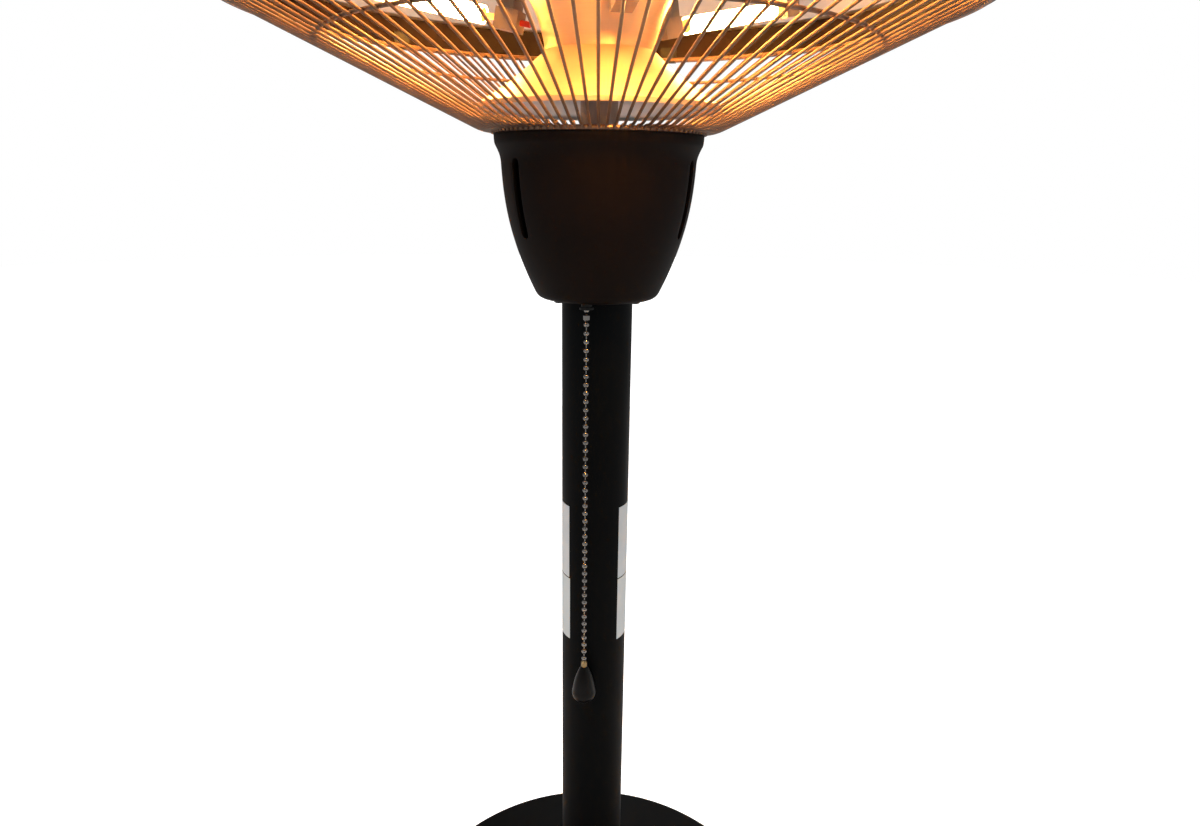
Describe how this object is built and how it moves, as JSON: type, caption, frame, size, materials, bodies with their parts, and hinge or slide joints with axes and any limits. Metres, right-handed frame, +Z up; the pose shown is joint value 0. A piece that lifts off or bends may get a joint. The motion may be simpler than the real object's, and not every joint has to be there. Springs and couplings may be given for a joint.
{
  "type": "tabletop patio heater",
  "caption": "Tabletop patio heater with a weighted round base, a pole, a bell housing with a pull-chain switch, and a wire-guarded lamp head under a hood.",
  "frame": {"origin": "on the table, under the pole axis, at the height of the soles of the rubber feet", "axes": "+Z up along the pole; -Y is the front, the side with the pull chain; +X to the right seen from the front"},
  "size_m": [0.404, 0.404, 0.753],
  "materials": {
    "black_enamel": "satin",
    "cast_weight": "rough",
    "zinc_steel": "satin",
    "rubber": "matte",
    "black_rubber": "matte",
    "black_screw": "satin",
    "black_moulding": "satin",
    "nickel": "polished",
    "switch_plastic": "matte",
    "brass": "polished",
    "black_gloss": "gloss",
    "grey_tube": "satin",
    "polished_aluminium": "polished",
    "quartz": "gloss",
    "filament": "satin",
    "pinch": "gloss",
    "ceramic": "matte",
    "red_sleeve": "matte",
    "guard_wire": "satin"
  },
  "bodies": {
    "root": {"base_ballast": "cast_weight", "base_bolt": "zinc_steel", "base_cover": "black_enamel", "base_feet": "rubber", "base_plate": "black_enamel", "base_screws": "zinc_steel", "base_spacer": "zinc_steel", "base_washer": "zinc_steel", "bell_housing": "black_moulding", "chain_bushing": "nickel", "column_reflector": "polished_aluminium", "cord_gland": "black_rubber", "guard": "guard_wire", "guard_clips": "zinc_steel", "head_tube": "grey_tube", "hood": "black_enamel", "hood_cap": "black_enamel", "hood_reflector": "polished_aluminium", "housing_lid": "black_moulding", "lamp_brackets": "zinc_steel", "lamp_ends": "ceramic", "lamp_filaments": "filament", "lamp_leads": "red_sleeve", "lamp_pinches": "pinch", "lamp_tubes": "quartz", "lid_posts": "zinc_steel", "lid_screws": "zinc_steel", "lower_reflector": "polished_aluminium", "pole": "black_enamel", "pole_insert": "zinc_steel", "pole_screws": "black_screw", "pole_socket": "zinc_steel", "socket_screws": "black_screw", "switch_bracket": "zinc_steel", "switch_case": "switch_plastic", "tube_nuts": "zinc_steel", "tube_plug": "zinc_steel"},
    "drum": {"switch_drum": "switch_plastic"},
    "puller": {"pull_link": "nickel"},
    "chain_top": {"chain_clasp": "nickel"},
    "chain": {"pull_chain": "nickel", "chain_ferrule": "brass", "pull_knob": "black_gloss"}
  },
  "joints": [
    {"name": "chain_pull", "type": "slide", "parent": "root", "child": "puller", "axis": [0, 0, -1], "range_m": [0, 0.012], "stiffness_N_per_m": 300, "springref_m": -0.01},
    {"name": "drum_turn", "type": "hinge", "parent": "root", "child": "drum", "pos_m": [0.0063, -0.0295, 0.552], "axis": [0, -1, 0], "range_deg": [0, 60]},
    {"name": "chain_swing", "type": "hinge", "parent": "puller", "child": "chain_top", "pos_m": [-0.0057, -0.0295, 0.5068], "axis": [-1, 0, 0], "range_deg": [0, 60]},
    {"name": "chain_sway", "type": "hinge", "parent": "chain_top", "child": "chain", "pos_m": [-0.0057, -0.0295, 0.5068], "axis": [0, 1, 0], "range_deg": [-30, 30]}
  ],
  "couplings": [
    {"joint": "drum_turn", "follows": "chain_pull", "rad_per_m": 83.333}
  ]
}
